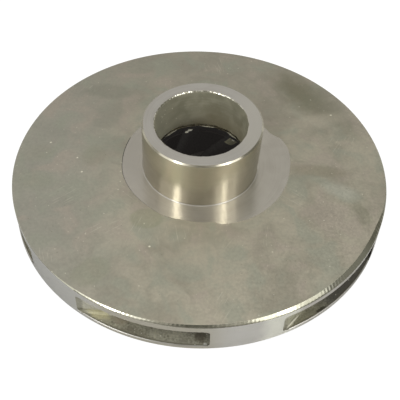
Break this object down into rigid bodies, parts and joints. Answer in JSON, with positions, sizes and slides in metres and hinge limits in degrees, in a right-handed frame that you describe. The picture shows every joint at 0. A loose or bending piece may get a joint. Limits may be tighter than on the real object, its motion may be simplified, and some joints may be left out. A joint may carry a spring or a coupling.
{
  "type": "closed centrifugal pump impeller",
  "caption": "Closed centrifugal pump impeller: backward-curved vanes cast between a front and a back shroud, a turned suction neck and a keyed hub.",
  "frame": {"origin": "on the shaft's axis, in the hub's back face, on which the impeller stands", "axes": "+Z along the shaft towards the suction eye; +X to the right and +Y away in the picture's view"},
  "size_m": [0.2414, 0.2414, 0.0695],
  "materials": {
    "turned_steel": "turned bright on the outside of the neck, dull olive skin in the bore",
    "ground_steel": "ground satin, mottled olive and mauve with handling marks, and a bright chamfer at the rim",
    "cast_steel": "rough as cast, dark olive grey",
    "turned_back": "fine turned rings, satin",
    "bored_steel": "bored and faced, satin"
  },
  "bodies": {
    "root": {"eye_ring": "turned_steel", "front_shroud": "ground_steel", "back_shroud": "turned_back", "hub": "bored_steel", "vane_1": "cast_steel", "vane_2": "cast_steel", "vane_3": "cast_steel", "vane_4": "cast_steel", "vane_5": "cast_steel", "vane_6": "cast_steel"}
  },
  "joints": []
}
